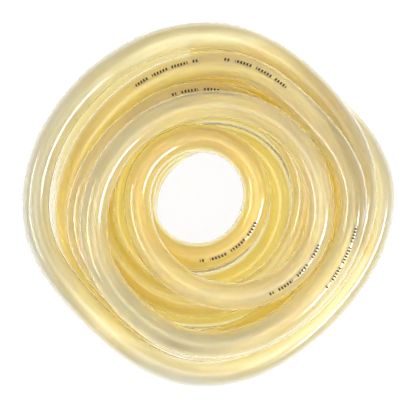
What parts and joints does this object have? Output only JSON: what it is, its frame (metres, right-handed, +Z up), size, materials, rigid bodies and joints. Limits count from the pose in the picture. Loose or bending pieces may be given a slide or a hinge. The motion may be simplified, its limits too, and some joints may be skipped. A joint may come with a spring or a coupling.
{
  "type": "silicone tubing coil",
  "caption": "Loose flat-lying coil of one length of translucent cream silicone tube, with square-cut open ends that push onto hose barbs.",
  "frame": {"origin": "centre of the coil's outline, on the surface it lies on", "axes": "+Z up, along the axis of the coil's eye; the lower cut end faces -Y and the upper one faces -X"},
  "size_m": [0.291, 0.2842, 0.0852],
  "materials": {
    "silicone": "translucent cream silicone, softly glossy"
  },
  "bodies": {
    "root": {"tubing_coil": "silicone"}
  },
  "joints": []
}
